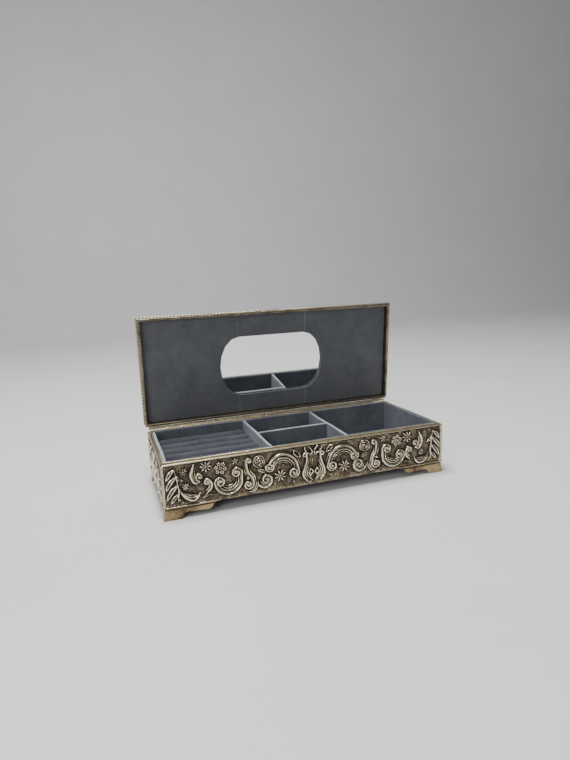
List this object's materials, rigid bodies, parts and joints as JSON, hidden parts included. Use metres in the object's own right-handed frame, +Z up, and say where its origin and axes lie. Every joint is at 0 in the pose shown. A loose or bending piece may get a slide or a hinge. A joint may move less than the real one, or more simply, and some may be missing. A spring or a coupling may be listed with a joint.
{
  "type": "jewellery box",
  "caption": "Long hinged jewellery box with raised scroll work on cast metal walls, bracket feet, a velvet tray with ring rolls and dividers, and an oval mirror in the lid.",
  "frame": {"origin": "on the table, under the centre of the outer box of the open jewellery box", "axes": "+X runs along the front to the viewer's right, -Y is the front, +Z is up"},
  "size_m": [0.2432, 0.1062, 0.1446],
  "materials": {
    "antique_silver": "antiqued silver plate over a raised casting, dark in its recesses",
    "foot_silver": "smooth warm silver plate, lightly tarnished",
    "bottom_metal": "dull sheet",
    "bright_silver": "polished silver plate",
    "rod_steel": "drawn wire",
    "tray_velvet": "short-pile velvet, slate blue-grey",
    "ring_velvet": "short-pile velvet over soft foam",
    "lid_velvet": "short-pile velvet, slate grey",
    "board": "grey board",
    "foam": "dense foam",
    "felt": "pressed felt",
    "mirror": "clear float-glass mirror with a ground edge"
  },
  "bodies": {
    "base": {"front_panel": "antique_silver", "back_panel": "antique_silver", "left_panel": "antique_silver", "right_panel": "antique_silver", "foot_front_left": "foot_silver", "foot_front_right": "foot_silver", "foot_back_left": "foot_silver", "foot_back_right": "foot_silver", "base_plate": "bottom_metal", "base_felt": "felt", "rim_lip": "bright_silver", "tray_board": "board", "liner_front": "tray_velvet", "liner_back": "tray_velvet", "liner_left": "tray_velvet", "liner_right": "tray_velvet", "divider_left": "tray_velvet", "divider_right": "tray_velvet", "divider_middle": "tray_velvet", "floor_pad_right": "tray_velvet", "floor_pad_front": "tray_velvet", "floor_pad_back": "tray_velvet", "ring_bed": "foam", "ring_roll_1": "ring_velvet", "ring_roll_2": "ring_velvet", "ring_roll_3": "ring_velvet", "ring_roll_4": "ring_velvet", "ring_roll_5": "ring_velvet", "ring_roll_6": "ring_velvet", "hinge_barrel": "bright_silver", "hinge_rod": "rod_steel"},
    "lid": {"lid_shell": "antique_silver", "lid_rope_trim": "antique_silver", "thumb_tab": "bright_silver", "lid_knuckle_left": "bright_silver", "lid_knuckle_right": "bright_silver", "lid_board": "board", "mirror_glass": "mirror", "lid_velvet_panel": "lid_velvet"}
  },
  "joints": [
    {"name": "lid_hinge", "type": "hinge", "parent": "base", "child": "lid", "pos_m": [0, 0.04478, 0.0446], "axis": [1, 0, 0], "range_deg": [0, 86]}
  ]
}
